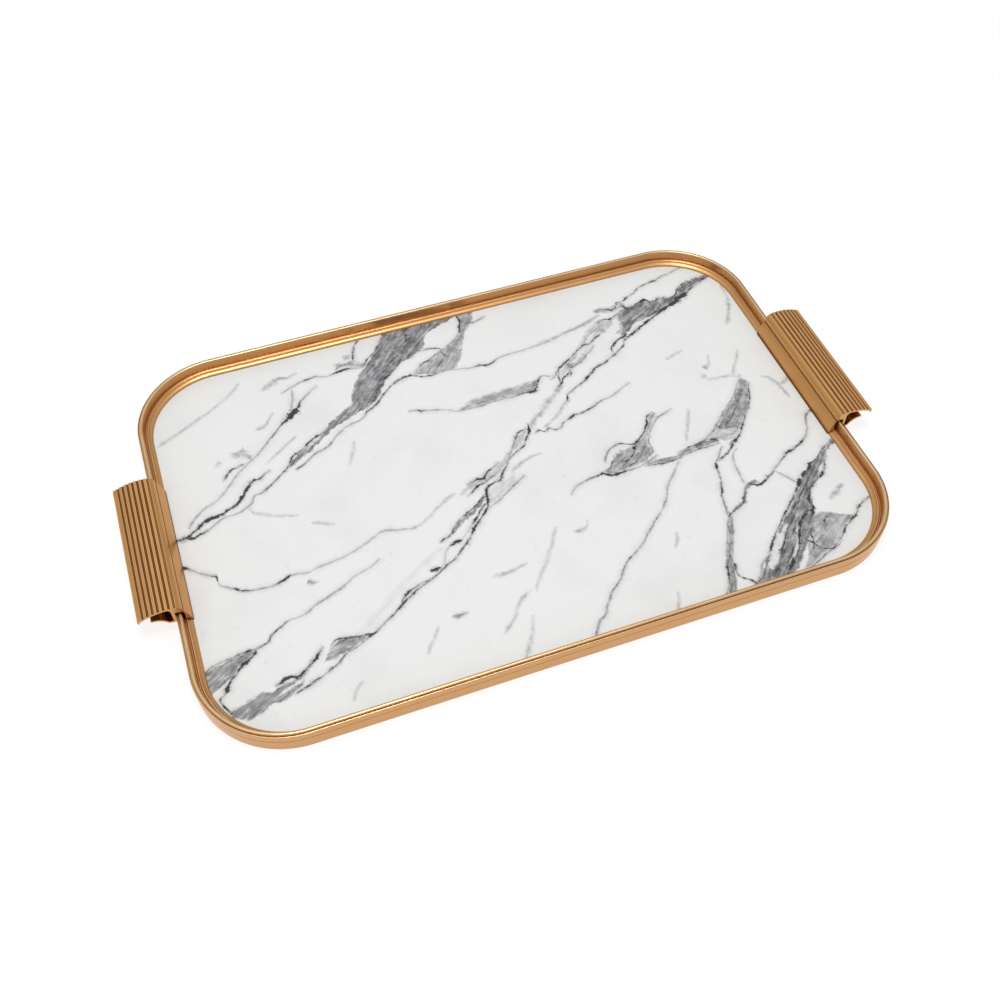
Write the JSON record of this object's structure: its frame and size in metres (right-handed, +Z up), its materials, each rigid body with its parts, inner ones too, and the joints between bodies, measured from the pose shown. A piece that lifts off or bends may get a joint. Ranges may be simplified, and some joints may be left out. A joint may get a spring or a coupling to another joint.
{
  "type": "vanity tray",
  "caption": "Low rounded-rectangle vanity tray: marble-print panel in a gold aluminium rim, with a ribbed handle over each short side.",
  "frame": {"origin": "centre of the tray's footprint, on the surface that the rim stands on", "axes": "+X along the tray's length towards the right handle, +Y towards its back, +Z up"},
  "size_m": [0.4716, 0.29, 0.0226],
  "materials": {
    "marble_print": "satin decorative laminate printed as white marble with grey veins",
    "fibreboard": "plain fibreboard",
    "backing": "matte backing laminate",
    "gold_rim": "satin copper-gold anodised, fine lengthwise extrusion lines",
    "gold_handle": "satin copper-gold anodised, fine lengthwise extrusion lines",
    "mill_aluminium": "plain mill finish"
  },
  "bodies": {
    "root": {"marble_laminate": "marble_print", "panel_board": "fibreboard", "backing_sheet": "backing", "rim_front": "gold_rim", "rim_back": "gold_rim", "joint_key_left": "mill_aluminium", "joint_key_right": "mill_aluminium", "handle_left": "gold_handle", "handle_right": "gold_handle"}
  },
  "joints": []
}
